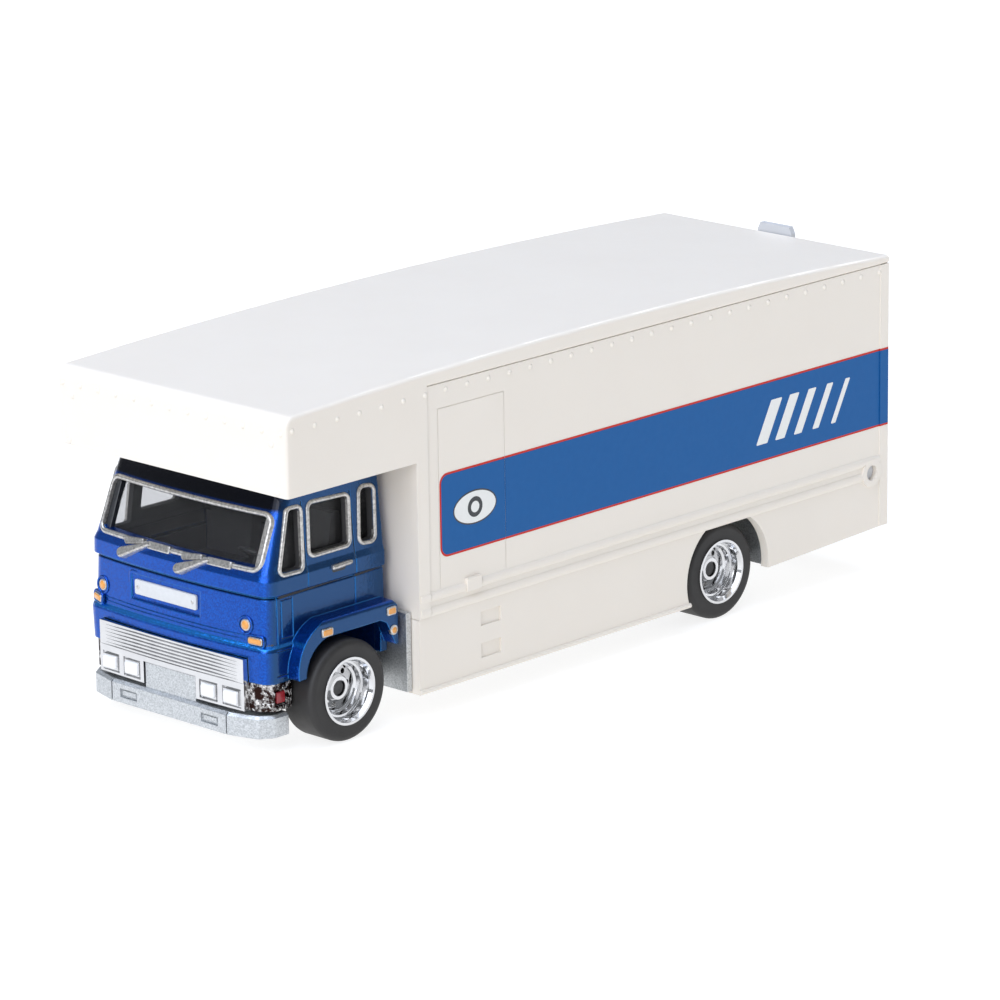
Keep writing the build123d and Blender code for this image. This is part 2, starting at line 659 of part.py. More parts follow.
# ---- chassis: bumper, centre panel, base plate, rails, axle blocks and mud plates ----
rail_top_z = 7.9
rail_x = 7.6
block_half_width = wheel_inner - 0.55
with BuildPart() as chassis:
    # bumper, straight in the middle and swept back at the ends
    with BuildSketch(Plane.XY.offset(bumper_bottom_z)):
        with BuildLine():
            Polyline(
                (10.0, behind_nose(-bumper_reach)), (14.0, behind_nose(-0.5)), (15.2, behind_nose(1.2)),
                (15.2, behind_nose(3.4)), (15.2 - bumper_depth, behind_nose(3.4)),
                (15.2 - bumper_depth, behind_nose(-bumper_reach + bumper_depth + 0.6)),
                (-15.2 + bumper_depth, behind_nose(-bumper_reach + bumper_depth + 0.6)),
                (-15.2 + bumper_depth, behind_nose(3.4)), (-15.2, behind_nose(3.4)),
                (-15.2, behind_nose(1.2)), (-14.0, behind_nose(-0.5)), (-10.0, behind_nose(-bumper_reach)),
                close=True,
            )
        make_face()
    extrude(amount=bumper_top_z - bumper_bottom_z)
    fillet(edges().filter_by(Axis.Z).sort_by(Axis.Y)[2:6], radius=0.9)
    bumper_top = faces().sort_by(Axis.Z)[-1].edges()
    chamfer(bumper_top.filter_by(lambda e: e.center().Y < behind_nose(0.8)), length=0.35)
    for side in (-1, 1):
        with Locations((side * 7.0, behind_nose(-bumper_reach), 3.25)):
            Box(2.9, 0.6, 1.1, mode=Mode.SUBTRACT)
        with Locations((side * 7.0, behind_nose(-bumper_reach + 0.3), 3.25)):
            Box(2.3, 0.3, 0.6)
        with Locations((side * 9.9, behind_nose(-bumper_reach + 0.1), 3.35)):
            Box(0.2, 0.6, 2.8, mode=Mode.SUBTRACT)
    # base plate
    plate_end = box_length - plate_end_inset
    with Locations((0, behind_nose(plate_end / 2 + 0.4), (plate_bottom_z + plate_top_z) / 2)):
        Box(2 * chassis_half_width, plate_end - 0.8, plate_top_z - plate_bottom_z)
    # centre panel between the lamps, and the wall behind the grille
    panel_top_z = lamp_top_z - 0.4
    with Locations((0, behind_nose(-0.1), (bumper_top_z - 0.3 + panel_top_z) / 2)):
        Box(2 * panel_half_width - 0.2, 2.1, panel_top_z - bumper_top_z + 0.3)
    with Locations((0, behind_nose(1.8), (plate_top_z + 12.4) / 2)):
        Box(23.0, 0.9, 12.4 - plate_top_z + 0.4)
    # rails behind the cab
    rail_end = box_length - rail_end_inset
    for side in (-1, 1):
        with Locations((side * rail_x, behind_nose((seam + rail_end) / 2), (plate_top_z + rail_top_z) / 2)):
            Box(1.2, rail_end - seam, rail_top_z - plate_top_z + 0.2)
    # axle blocks
    for axle_back in (front_axle_back, rear_axle_back):
        with Locations((0, behind_nose(axle_back), (plate_bottom_z + axle_z + 1.7) / 2)):
            Box(2 * block_half_width, 4.4, axle_z + 1.7 - plate_bottom_z)
    # pillars under the cab floor
    with Locations((0, behind_nose(cab_rivet_back), (plate_top_z + floor_z) / 2)):
        Box(6.0, 3.0, floor_z - plate_top_z)
    # walls before and behind each rear wheel
    for wall_back, wall_bottom in ((well_front, skirt_bottom_z + 0.1), (well_back, tail_skirt_z + 0.1)):
        wall_top = deck_top_z - deck_thickness - 0.15
        for side in (-1, 1):
            wall_x = side * (rail_x + inner_x - 0.1) / 2
            with Locations((wall_x, behind_nose(wall_back), (wall_bottom + wall_top) / 2)):
                Box(inner_x - 0.1 - rail_x, well_wall, wall_top - wall_bottom)
    # engine sump, drive shaft and rear axle casing in relief underneath
    with Locations((0, behind_nose(13.5), (sump_bottom_z + plate_top_z) / 2)):
        Box(sump_width, sump_length, plate_top_z - sump_bottom_z)
    shaft_start = 33.0
    shaft_length = rear_axle_back - shaft_start
    with Locations((0, behind_nose(shaft_start + shaft_length / 2), plate_bottom_z)):
        Cylinder(0.7, shaft_length, rotation=(90, 0, 0))
    with Locations((0, behind_nose(rear_axle_back), plate_bottom_z + 0.6)):
        Sphere(1.9)
        Cylinder(1.2, 2 * chassis_half_width - 2, rotation=(0, 90, 0))
    # mud plates behind the front wheels, joined across the frame
    mud_y = behind_nose(front_wall - 0.15 - mud_plate_thickness / 2)
    mud_bar_height = 2.3
    with Locations((0, mud_y, mud_plate_bottom_z + mud_bar_height / 2)):
        Box(2 * inner_x, mud_plate_thickness, mud_bar_height)
    mud_plate_z = (mud_plate_bottom_z + mud_plate_top_z) / 2
    for side in (-1, 1):
        with Locations((side * (mud_plate_inner + inner_x) / 2, mud_y, mud_plate_z)):
            Box(inner_x - mud_plate_inner, mud_plate_thickness, mud_plate_top_z - mud_plate_bottom_z)
    for axle_back in (front_axle_back, rear_axle_back):
        with Locations((0, behind_nose(axle_back), axle_z)):
            Cylinder(axle_radius + axle_clearance, 30, rotation=(0, 90, 0), mode=Mode.SUBTRACT)
    for rivet_back in (cab_rivet_back, *box_rivet_backs):
        with Locations((0, behind_nose(rivet_back), plate_bottom_z)):
            Cylinder(0.9, 4.0, mode=Mode.SUBTRACT)
finish(chassis, "chassis")


# ---- rivets that hold the cab and the box to the chassis ----
with BuildPart() as chassis_rivets:
    for rivet_back in (cab_rivet_back, *box_rivet_backs):
        with Locations((0, behind_nose(rivet_back), plate_bottom_z - 0.25)):
            Cylinder(1.5, 0.5)
        with Locations((0, behind_nose(rivet_back), plate_bottom_z + 0.5)):
            Cylinder(0.85, 1.1)
finish(chassis_rivets, "chassis_rivets")


# ---- axles: steel rods with a head at each end ----
hub_face = wheel_face - 2.2
for name, axle_back in (("front_axle", front_axle_back), ("rear_axle", rear_axle_back)):
    with BuildPart() as axle:
        with Locations((0, behind_nose(axle_back), axle_z)):
            Cylinder(axle_radius, 2 * hub_face, rotation=(0, 90, 0))
        for side in (-1, 1):
            with Locations((side * (hub_face + 0.15), behind_nose(axle_back), axle_z)):
                Cylinder(axle_head_radius, 0.3, rotation=(0, 90, 0))
    finish(axle, name)


# ---- wheels: bright deep-dish rims and plain rubber tyres ----
lip_radius = 4.1
rim_inner = wheel_inner - 0.2
lip_x = wheel_face + 0.2
for side, side_name in ((1, "left"), (-1, "right")):
    for end_name, axle_back in (("front", front_axle_back), ("rear", rear_axle_back)):
        wheel_centre = (0, behind_nose(axle_back), axle_z)
        section = Plane(origin=wheel_centre, x_dir=(side, 0, 0), z_dir=(0, -side, 0))
        spin_axis = Axis(wheel_centre, (1, 0, 0))
        bore = axle_radius + axle_clearance
        with BuildPart() as rim:
            with BuildSketch(section):
                with BuildLine():
                    Polyline(
                        (rim_inner, bore), (rim_inner, 1.5), (hub_face - 1.4, 1.5),
                        (hub_face - 1.4, 3.3), (rim_inner + 0.3, 3.3),
                        (rim_inner + 0.3, rim_radius), (wheel_face + rim_gap, rim_radius),
                        (wheel_face + rim_gap, lip_radius), (lip_x, lip_radius),
                        (lip_x, lip_radius - 0.3),
                        (lip_x - 0.5, 3.55), (lip_x - 1.4, 3.4), (lip_x - 1.45, 3.15), (lip_x - 2.1, 3.0),
                        (lip_x - 2.3, 2.75), (lip_x - 2.9, 2.6), (lip_x - 2.8, 1.75), (hub_face + 0.2, 1.65),
                        (hub_face + 0.55, 1.4), (hub_face + 0.55, 1.0), (hub_face - 0.05, 0.95),
                        (hub_face - 0.05, bore), close=True,
                    )
                make_face()
            revolve(axis=spin_axis)
            with Locations(Plane(origin=wheel_centre, x_dir=(0, 1, 0), z_dir=(1, 0, 0))):
                with PolarLocations(2.2, 8):
                    with Locations((0, 0, side * (hub_face - 0.8))):
                        Cylinder(0.34, 3.0, mode=Mode.SUBTRACT)
        finish(rim, f"rim_{end_name}_{side_name}")

        with BuildPart() as tyre:
            with BuildSketch(section):
                with Locations((wheel_face - tyre_width / 2, (tyre_radius + rim_radius + rim_gap) / 2)):
                    Rectangle(tyre_width, tyre_radius - rim_radius - rim_gap)
                fillet(vertices().sort_by(Axis.Y)[-2:], radius=tyre_shoulder)
            revolve(axis=spin_axis)
        finish(tyre, f"tyre_{end_name}_{side_name}")
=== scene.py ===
import json
import math

import bmesh
import bpy
from mathutils import Matrix, Quaternion, Vector
from mathutils.bvhtree import BVHTree


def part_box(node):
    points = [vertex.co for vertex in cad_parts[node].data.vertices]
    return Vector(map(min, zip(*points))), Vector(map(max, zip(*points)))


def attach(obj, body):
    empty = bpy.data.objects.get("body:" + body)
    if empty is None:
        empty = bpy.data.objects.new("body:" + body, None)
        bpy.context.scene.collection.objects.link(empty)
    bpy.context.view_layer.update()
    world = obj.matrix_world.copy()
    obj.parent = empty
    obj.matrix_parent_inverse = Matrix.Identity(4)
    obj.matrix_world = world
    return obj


# Looks of a small die-cast box truck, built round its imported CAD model.  Metres, in the model's own frame:
# the truck faces -Y, its left side is +X and the wheels stand on Z = 0.

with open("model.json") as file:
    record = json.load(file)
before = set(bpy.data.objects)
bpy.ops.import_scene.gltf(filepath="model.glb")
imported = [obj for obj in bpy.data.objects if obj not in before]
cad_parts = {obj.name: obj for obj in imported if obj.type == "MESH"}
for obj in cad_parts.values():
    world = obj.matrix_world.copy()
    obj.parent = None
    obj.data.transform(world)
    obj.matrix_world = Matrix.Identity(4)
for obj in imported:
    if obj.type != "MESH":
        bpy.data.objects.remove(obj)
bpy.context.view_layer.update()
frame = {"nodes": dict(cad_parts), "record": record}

MM = 0.001
SIDES = {"left": 1, "right": -1}
SHARP_TURN = 32                                     # degrees over which an edge of an added piece is sharp

# heights and places on the model, in millimetres
CREASE_Z = 18.8                                     # crease round the cab
LIP_Z = 12.9                                        # lip over the grille
SHADE_LOW_Z, SHADE_HIGH_Z = 28.3, 28.8              # where painted shade turns the paint navy under the nose
SILL_Z, HEAD_Z = 23.0, 28.0                         # near the foot and head of the side windows
SCREEN_LOW_Z, SCREEN_HIGH_Z = 21.95, 28.4           # under and over the windscreen's opening
SCREEN_TOP_Z = 28.2                                 # upper run of the windscreen frame
SCREEN_END_X = 12.5                                 # near the end of the windscreen
PILLAR_BACK = 7.25                                  # plain strip between two side windows
INSERT_CORNER_X = 12.5                              # where the grille insert turns round the corner
OUTSIDE_X, OUTSIDE_Y = 30, -90                      # well clear of the model, where rays start


# ---- places read from the frame ----
rivet_reach = 0.2 * MM
nose_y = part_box("roof_cap")[0].y + rivet_reach


def behind_nose(distance):
    """Y of a point this many millimetres behind the front face of the nose."""
    return nose_y + distance * MM


# ---- materials ----
def node_material(name):
    """A new material, its node tree and its Principled shader."""
    material = bpy.data.materials.new(name)
    material.use_nodes = True
    tree = material.node_tree
    shader = tree.nodes["Principled BSDF"]
    return material, tree, shader


def add_node(tree, kind, **values):
    """Add a shader node and set its properties, or its inputs where the name is an input's."""
    node = tree.nodes.new(kind)
    for key, value in values.items():
        label = key.replace("_", " ").title()
        if hasattr(node, key):
            setattr(node, key, value)
        else:
            node.inputs[label].default_value = value
    return node


def position(tree):
    """The socket that gives each point's place on its own mesh, in metres."""
    return add_node(tree, "ShaderNodeTexCoord").outputs["Object"]


def noise(tree, size_mm, detail=3.0, roughness=0.5):
    """Noise whose blobs measure about this many millimetres."""
    node = add_node(tree, "ShaderNodeTexNoise", detail=detail, roughness=roughness)
    node.inputs["Scale"].default_value = 1 / (size_mm * MM)
    tree.links.new(position(tree), node.inputs["Vector"])
    return node.outputs["Fac"]


def cells(tree, size_mm):
    """Random values and colours, one for each grain of about this many millimetres."""
    node = add_node(tree, "ShaderNodeTexVoronoi")
    node.inputs["Scale"].default_value = 1 / (size_mm * MM)
    tree.links.new(position(tree), node.inputs["Vector"])
    return node.outputs["Color"]


def remap(tree, value, low, high, from_low=0.0, from_high=1.0):
    """Spread a value from one range over another."""
    node = add_node(tree, "ShaderNodeMapRange")
    node.inputs["From Min"].default_value = from_low
    node.inputs["From Max"].default_value = from_high
    node.inputs["To Min"].default_value = low
    node.inputs["To Max"].default_value = high
    tree.links.new(value, node.inputs["Value"])
    return node.outputs["Result"]


def blend_colours(tree, factor, first, second):
    """Mix two colours, each a tuple or a colour socket, by a factor socket."""
    node = add_node(tree, "ShaderNodeMix", data_type="RGBA")
    tree.links.new(factor, node.inputs["Factor"])
    for socket, colour in ((node.inputs[6], first), (node.inputs[7], second)):
        if isinstance(colour, tuple):
            socket.default_value = (*colour, 1)
        else:
            tree.links.new(colour, socket)
    return node.outputs[2]


def calculate(tree, operation, value, other=0.0):
    """A number worked out from a value socket."""
    node = add_node(tree, "ShaderNodeMath", operation=operation)
    tree.links.new(value, node.inputs[0])
    node.inputs[1].default_value = other
    return node.outputs[0]


def parts_of(tree, vector):
    """The X, Y and Z sockets of a vector socket."""
    node = add_node(tree, "ShaderNodeSeparateXYZ")
    tree.links.new(vector, node.inputs[0])
    return node.outputs


def soft_edges(tree, radius_mm):
    """A normal that rounds every sharp edge by this radius."""
    node = add_node(tree, "ShaderNodeBevel", samples=6)
    node.inputs["Radius"].default_value = radius_mm * MM
    return node.outputs["Normal"]


def bump(tree, height, depth_mm, strength=1.0, normal=None):
    """A normal that follows a height socket, this many millimetres deep."""
    node = add_node(tree, "ShaderNodeBump")
    node.inputs["Strength"].default_value = strength
    node.inputs["Distance"].default_value = depth_mm * MM
    tree.links.new(height, node.inputs["Height"])
    if normal is not None:
        tree.links.new(normal, node.inputs["Normal"])
    return node.outputs["Normal"]


def moulded_plastic(name, low, high, roughness, edge_mm=0.09, scatter=0.0):
    """Gloss plastic with faint flow marks, a fine skin texture and softened edges."""
    material, tree, shader = node_material(name)
    link = tree.links.new
    link(blend_colours(tree, noise(tree, 9.0), low, high), shader.inputs["Base Color"])
    link(remap(tree, noise(tree, 1.6, 4), roughness - 0.06, roughness + 0.06), shader.inputs["Roughness"])
    edges = soft_edges(tree, edge_mm)
    skin = bump(tree, noise(tree, 0.22, 2), 0.006, 0.6, edges)
    link(bump(tree, noise(tree, 5.0, 1), 0.03, 0.5, skin), shader.inputs["Normal"])
    shader.inputs["Specular IOR Level"].default_value = 0.5
    if scatter:
        shader.inputs["Subsurface Weight"].default_value = scatter
        shader.inputs["Subsurface Radius"].default_value = (1.0, 0.9, 0.75)
        shader.inputs["Subsurface Scale"].default_value = 0.6 * MM
    return material


def candy_paint(name):
    """Deep blue candy over metal flake under a clear coat, with painted light: painted shade makes it duller
    on the sides and navy in the crease and under the nose, a painted highlight runs along the lip, and edges
    are bright partly where the candy thins and partly from a painted highlight."""
    material, tree, shader = node_material(name)
    link = tree.links.new
    deep, bright = (0.001, 0.028, 0.245), (0.003, 0.100, 0.52)
    lip_highlight_blue, thinned_and_highlit_edge_blue = (0.012, 0.22, 0.66), (0.010, 0.200, 0.560)
    side_shade_blue, crease_shade_navy, shade_navy = (0.010, 0.058, 0.170), (0.001, 0.004, 0.020), (0.001, 0.002, 0.008)
    flakes = cells(tree, 0.12)
    split = add_node(tree, "ShaderNodeSeparateColor")
    link(flakes, split.inputs["Color"])
    height = parts_of(tree, position(tree))["Z"]
    normal = add_node(tree, "ShaderNodeTexCoord").outputs["Normal"]
    sideways = calculate(tree, "ABSOLUTE", parts_of(tree, normal)["X"])
    from_crease = calculate(tree, "ABSOLUTE", calculate(tree, "SUBTRACT", height, CREASE_Z * MM))
    from_lip = calculate(tree, "ABSOLUTE", calculate(tree, "SUBTRACT", height, LIP_Z * MM))
    edges = soft_edges(tree, 0.22)
    flatness = add_node(tree, "ShaderNodeVectorMath", operation="DOT_PRODUCT")
    link(edges, flatness.inputs[0])
    link(normal, flatness.inputs[1])

    colour = blend_colours(tree, remap(tree, split.outputs["Red"], 0.25, 1.0), deep, bright)
    # painted highlight: a bright blue line along the lip over the grille
    lip = remap(tree, from_lip, 0.8, 0.0, 0.12 * MM, 0.36 * MM)
    colour = blend_colours(tree, lip, colour, lip_highlight_blue)
    # painted shade: the paint goes navy just under the nose, by height alone
    shade_under_nose = remap(tree, height, 0.0, 1.0, SHADE_LOW_Z * MM, SHADE_HIGH_Z * MM)
    colour = blend_colours(tree, shade_under_nose, colour, shade_navy)
    # painted shade: duller, darker blue on faces that turn towards the sides
    colour = blend_colours(tree, remap(tree, sideways, 0.0, 1.0, 0.6, 0.95), colour, side_shade_blue)
    # painted shade: a navy line along the crease round the cab
    crease = remap(tree, from_crease, 0.9, 0.0, 0.10 * MM, 0.30 * MM)
    colour = blend_colours(tree, crease, colour, crease_shade_navy)
    # brighter blue on rounded edges: partly the candy lying thinner there, partly a painted highlight
    edge = remap(tree, flatness.outputs["Value"], 0.85, 0.0, 0.86, 0.99)
    link(blend_colours(tree, edge, colour, thinned_and_highlit_edge_blue), shader.inputs["Base Color"])

    tilt = add_node(tree, "ShaderNodeVectorMath", operation="SUBTRACT")
    link(flakes, tilt.inputs[0])
    tilt.inputs[1].default_value = (0.5, 0.5, 0.5)
    spread = add_node(tree, "ShaderNodeVectorMath", operation="SCALE")
    link(tilt.outputs[0], spread.inputs[0])
    spread.inputs["Scale"].default_value = 0.15
    leaned = add_node(tree, "ShaderNodeVectorMath", operation="ADD")
    link(edges, leaned.inputs[0])
    link(spread.outputs[0], leaned.inputs[1])
    unit = add_node(tree, "ShaderNodeVectorMath", operation="NORMALIZE")
    link(leaned.outputs[0], unit.inputs[0])
    link(unit.outputs[0], shader.inputs["Normal"])
    link(bump(tree, noise(tree, 1.8, 2), 0.012, 0.5, edges), shader.inputs["Coat Normal"])
    shader.inputs["Metallic"].default_value = 0.85
    shader.inputs["Roughness"].default_value = 0.27
    shader.inputs["Specular IOR Level"].default_value = 0.3
    shader.inputs["Coat Weight"].default_value = 0.32
    shader.inputs["Coat Roughness"].default_value = 0.03
    return material


def plating(name):
    """Vacuum plated plastic: a slightly uneven mirror."""
    material, tree, shader = node_material(name)
    link = tree.links.new
    shades = blend_colours(tree, noise(tree, 2.5), (0.60, 0.60, 0.61), (0.80, 0.80, 0.80))
    link(shades, shader.inputs["Base Color"])
    link(remap(tree, noise(tree, 0.9, 4), 0.05, 0.16, 0.35, 0.7), shader.inputs["Roughness"])
    edges = soft_edges(tree, 0.05)
    link(bump(tree, noise(tree, 0.7, 2), 0.012, 0.5, edges), shader.inputs["Normal"])
    shader.inputs["Metallic"].default_value = 1.0
    return material


def pitted_plating(name):
    """Plating over broken relief, coloured near black in its hollows as painted shade."""
    material, tree, shader = node_material(name)
    link = tree.links.new
    # painted shade: the low parts of the relief are coloured near black
    hollows = remap(tree, noise(tree, 0.8, 3, 0.6), 0.0, 1.0, 0.47, 0.62)
    shades = blend_colours(tree, hollows, (0.025, 0.012, 0.010), (0.74, 0.72, 0.70))
    link(shades, shader.inputs["Base Color"])
    link(remap(tree, noise(tree, 0.5, 3), 0.1, 0.3), shader.inputs["Roughness"])
    link(bump(tree, hollows, 0.12, 1.0, soft_edges(tree, 0.05)), shader.inputs["Normal"])
    shader.inputs["Metallic"].default_value = 1.0
    return material


def tumbled_casting(name, low, high, roughness=0.42):
    """Bare zinc casting: fine bright and dark grain over a dull grey metal."""
    material, tree, shader = node_material(name)
    link = tree.links.new
    split = add_node(tree, "ShaderNodeSeparateColor")
    link(cells(tree, 0.14), split.inputs["Color"])
    link(blend_colours(tree, split.outputs["Green"], low, high), shader.inputs["Base Color"])
    link(remap(tree, split.outputs["Blue"], roughness - 0.12, roughness + 0.12), shader.inputs["Roughness"])
    edges = soft_edges(tree, 0.08)
    grain = bump(tree, noise(tree, 0.2, 3), 0.02, 0.6, edges)
    link(bump(tree, noise(tree, 1.5, 2), 0.05, 0.4, grain), shader.inputs["Normal"])
    shader.inputs["Metallic"].default_value = 0.9
    return material


def turned_steel(name):
    """Dull, oil-dark axle wire."""
    material, tree, shader = node_material(name)
    link = tree.links.new
    shades = blend_colours(tree, noise(tree, 0.6, 4), (0.05, 0.05, 0.05), (0.13, 0.13, 0.13))
    link(shades, shader.inputs["Base Color"])
    link(bump(tree, noise(tree, 0.1, 3), 0.01, 0.5), shader.inputs["Normal"])
    shader.inputs["Metallic"].default_value = 1.0
    shader.inputs["Roughness"].default_value = 0.5
    return material


def rubber(name):
    """Soft black tyre rubber, a little dusty."""
    material, tree, shader = node_material(name)
    link = tree.links.new
    shades = blend_colours(tree, noise(tree, 2.2, 5), (0.014, 0.013, 0.0125), (0.028, 0.026, 0.025))
    link(shades, shader.inputs["Base Color"])
    link(remap(tree, noise(tree, 1.1, 4), 0.46, 0.66), shader.inputs["Roughness"])
    edges = soft_edges(tree, 0.1)
    link(bump(tree, noise(tree, 0.18, 3), 0.012, 0.7, edges), shader.inputs["Normal"])
    return material


def smoked_glass(name):
    """Clear moulding with a light smoke tint."""
    material, tree, shader = node_material(name)
    link = tree.links.new
    shades = blend_colours(tree, noise(tree, 6.0), (0.72, 0.72, 0.73), (0.80, 0.80, 0.80))
    link(shades, shader.inputs["Base Color"])
    link(remap(tree, noise(tree, 1.4, 3), 0.01, 0.05), shader.inputs["Roughness"])
    link(bump(tree, noise(tree, 3.0, 1), 0.01, 0.4), shader.inputs["Normal"])
    shader.inputs["Transmission Weight"].default_value = 0.984
    shader.inputs["IOR"].default_value = 1.2
    return material


# the darkest and lightest shades of two of the plastics
WHITE_SHADES = (0.84, 0.775, 0.69), (0.865, 0.805, 0.72)
INTERIOR_SHADES = (0.052, 0.051, 0.052), (0.070, 0.068, 0.070)
cad_materials = {
    "white_plastic": moulded_plastic("white_plastic", *WHITE_SHADES, 0.34, scatter=0.12),
    "deck_plastic": moulded_plastic("deck_plastic", (0.74, 0.73, 0.70), (0.79, 0.78, 0.76), 0.5),
    "ramp_plastic": moulded_plastic("ramp_plastic", (0.56, 0.57, 0.59), (0.62, 0.63, 0.65), 0.4),
    "cab_paint": candy_paint("cab_paint"),
    "tinted_glass": smoked_glass("tinted_glass"),
    "interior_plastic": moulded_plastic("interior_plastic", *INTERIOR_SHADES, 0.55),
    "bright_plating": plating("bright_plating"),
    "bare_casting": tumbled_casting("bare_casting", (0.46, 0.48, 0.49), (0.70, 0.72, 0.735)),
    "steel": turned_steel("steel"),
    "tyre_rubber": rubber("tyre_rubber"),
}
for subpart in frame["record"]["subparts"]:
    mesh = frame["nodes"][subpart["node"]].data
    mesh.materials.clear()
    mesh.materials.append(cad_materials[subpart["material_slot"]])


def faces_inside(face):
    """Whether a face of the cab casting looks into the cab, or is the wall of a side window's opening."""
    centre, normal = face.center / MM, face.normal
    in_side_wall, at_windows = 13.5 < abs(centre.x) < 15.3, 21 < centre.z < 29.2
    if abs(normal.x) < 0.03 and in_side_wall and at_windows:
        return behind_nose(2.6) < face.center.y < behind_nose(19)
    if abs(normal.x) > 0.7:
        return abs(centre.x) > 12 and normal.x * centre.x < 0
    if abs(normal.y) > 0.7:
        faces_in = normal.y < 0 if face.center.y > behind_nose(15) else normal.y > 0
        return faces_in and abs(centre.x) < 13.9 and centre.z > 13.5
    return normal.z < -0.7 and centre.z > 25


# faces inside the cab and the walls of the side windows' openings take the dark interior plastic as painted
# shade, in place of the blue of the casting
cab_mesh = frame["nodes"]["cab_shell"].data
cab_mesh.materials.append(cad_materials["interior_plastic"])
for face in cab_mesh.polygons:
    if faces_inside(face):
        face.material_index = 1
# the grille insert's corners take the pitted plating, with its painted shade in the hollows
insert_mesh = frame["nodes"]["grille_insert"].data
insert_mesh.materials.append(pitted_plating("pitted_plating"))
for face in insert_mesh.polygons:
    if abs(face.center.x) > INSERT_CORNER_X * MM:
        face.material_index = 1


# ---- mesh building: outlines, profiles and sections are in millimetres ----
def skin(node):
    """The surface of a CAD node, for finding places on it."""
    mesh = frame["nodes"][node].data
    return BVHTree.FromPolygons([v.co for v in mesh.vertices], [p.vertices for p in mesh.polygons])


def hit(surface, start, direction):
    """Where a ray from start, in millimetres, first meets a surface."""
    place = surface.ray_cast(Vector(start) * MM, Vector(direction))[0]
    if place is None:
        raise ValueError(f"nothing at {start} along {direction}")
    return place


def rounded(points, radius, steps=6):
    """A closed outline through these corners, each rounded by an arc."""
    outline = []
    count = len(points)
    for i in range(count):
        before, corner, after = (Vector(points[(i + k) % count]) for k in (-1, 0, 1))
        to_before, to_after = (before - corner).normalized(), (after - corner).normalized()
        half_turn = to_before.angle(to_after) / 2
        centre = corner + (to_before + to_after).normalized() * radius / math.sin(half_turn)
        first = corner + to_before * radius / math.tan(half_turn) - centre
        last = corner + to_after * radius / math.tan(half_turn) - centre
        turn = first.angle_signed(last)
        for k in range(steps + 1):
            arm = first.copy()
            arm.rotate(Matrix.Rotation(-turn * k / steps, 2))
            outline.append(centre + arm)
    return outline


def oval(centre, across, up, steps=48):
    """A closed oval outline about a centre, from its two half widths."""
    turns = [math.tau * k / steps for k in range(steps)]
    return [Vector((centre[0] + across * math.cos(turn), centre[1] + up * math.sin(turn))) for turn in turns]


def circle(centre, radius, steps=32):
    """A closed round outline."""
    return oval(centre, radius, radius, steps)


def rectangle(centre, across, up, radius, steps=6):
    """A closed outline of an upright rectangle with rounded corners, from its two half widths."""
    left, right, low, high = centre[0] - across, centre[0] + across, centre[1] - up, centre[1] + up
    return rounded([(left, low), (right, low), (right, high), (left, high)], radius, steps)


def teardrop(wide, wide_radius, narrow, narrow_radius, steps=10):
    """A closed outline round two circles and the tangents between them."""
    wide, narrow = Vector(wide), Vector(narrow)
    along = narrow - wide
    heading = math.atan2(along.y, along.x)
    lean = math.acos((wide_radius - narrow_radius) / along.length)
    outline = []
    for centre, radius, first, last in (
        (wide, wide_radius, lean, math.tau - lean),
        (narrow, narrow_radius, -lean, lean),
    ):
        for k in range(steps + 1):
            turn = heading + first + (last - first) * k / steps
            outline.append(centre + radius * Vector((math.cos(turn), math.sin(turn))))
    return outline


def along_bow(outline, step=1.0):
    """The same outline with more points on its long runs, so that it can follow the bow of the front."""
    finer = []
    for i, point in enumerate(outline):
        after = outline[(i + 1) % len(outline)]
        parts = max(1, round((after - point).length / step))
        finer += [point.lerp(after, k / parts) for k in range(parts)]
    return finer


def inward(outline):
    """For each point of a closed outline, the unit vector that points into it."""
    followers = outline[1:] + outline[:1]
    area = sum(point.x * after.y - after.x * point.y for point, after in zip(outline, followers))
    sign = 1 if area > 0 else -1
    arrows = []
    for i, after in enumerate(followers):
        along = (after - outline[i - 1]).normalized()
        arrows.append(Vector((-along.y, along.x)) * sign)
    return arrows


def make_piece(name, vertices, faces, finish):
    """A mesh piece that rides on the truck, smooth except where it turns sharply."""
    material, slot = finish
    mesh = bpy.data.meshes.new(name)
    mesh.from_pydata(vertices, [], faces)
    bm = bmesh.new()
    bm.from_mesh(mesh)
    bmesh.ops.recalc_face_normals(bm, faces=bm.faces)
    bm.to_mesh(mesh)
    bm.free()
    for face in mesh.polygons:
        face.use_smooth = True
    mesh.set_sharp_from_angle(angle=math.radians(SHARP_TURN))
    mesh.materials.append(material)
    piece = bpy.data.objects.new(name, mesh)
    bpy.context.scene.collection.objects.link(piece)
    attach(piece, "truck")


def raised(name, place, outline, profile, finish):
    """A closed form over an outline, capped at both ends: the profile lists each ring's (inset, lift)."""
    arrows = inward(outline)
    count = len(outline)
    vertices = []
    for inset, lift in profile:
        vertices += [place(*(point + arrow * inset), lift) for point, arrow in zip(outline, arrows)]
    rings = [range(first, first + count) for first in range(0, len(vertices), count)]
    faces = [tuple(rings[0])]
    for ring, above in zip(rings, rings[1:]):
        for i in range(count):
            j = (i + 1) % count
            faces.append((ring[i], ring[j], above[j], above[i]))
    faces.append(tuple(rings[-1]))
    make_piece(name, vertices, faces, finish)


def bead(name, place, outline, section, finish):
    """A closed ring along an outline: section is a closed list of (inset, lift) round the bead."""
    vertices = []
    for point, arrow in zip(outline, inward(outline)):
        vertices += [place(*(point + arrow * inset), lift) for inset, lift in section]
    count = len(section)
    faces = []
    for here in range(0, len(vertices), count):
        after = (here + count) % len(vertices)
        for k in range(count):
            m = (k + 1) % count
            faces.append((here + k, after + k, after + m, here + m))
    make_piece(name, vertices, faces, finish)


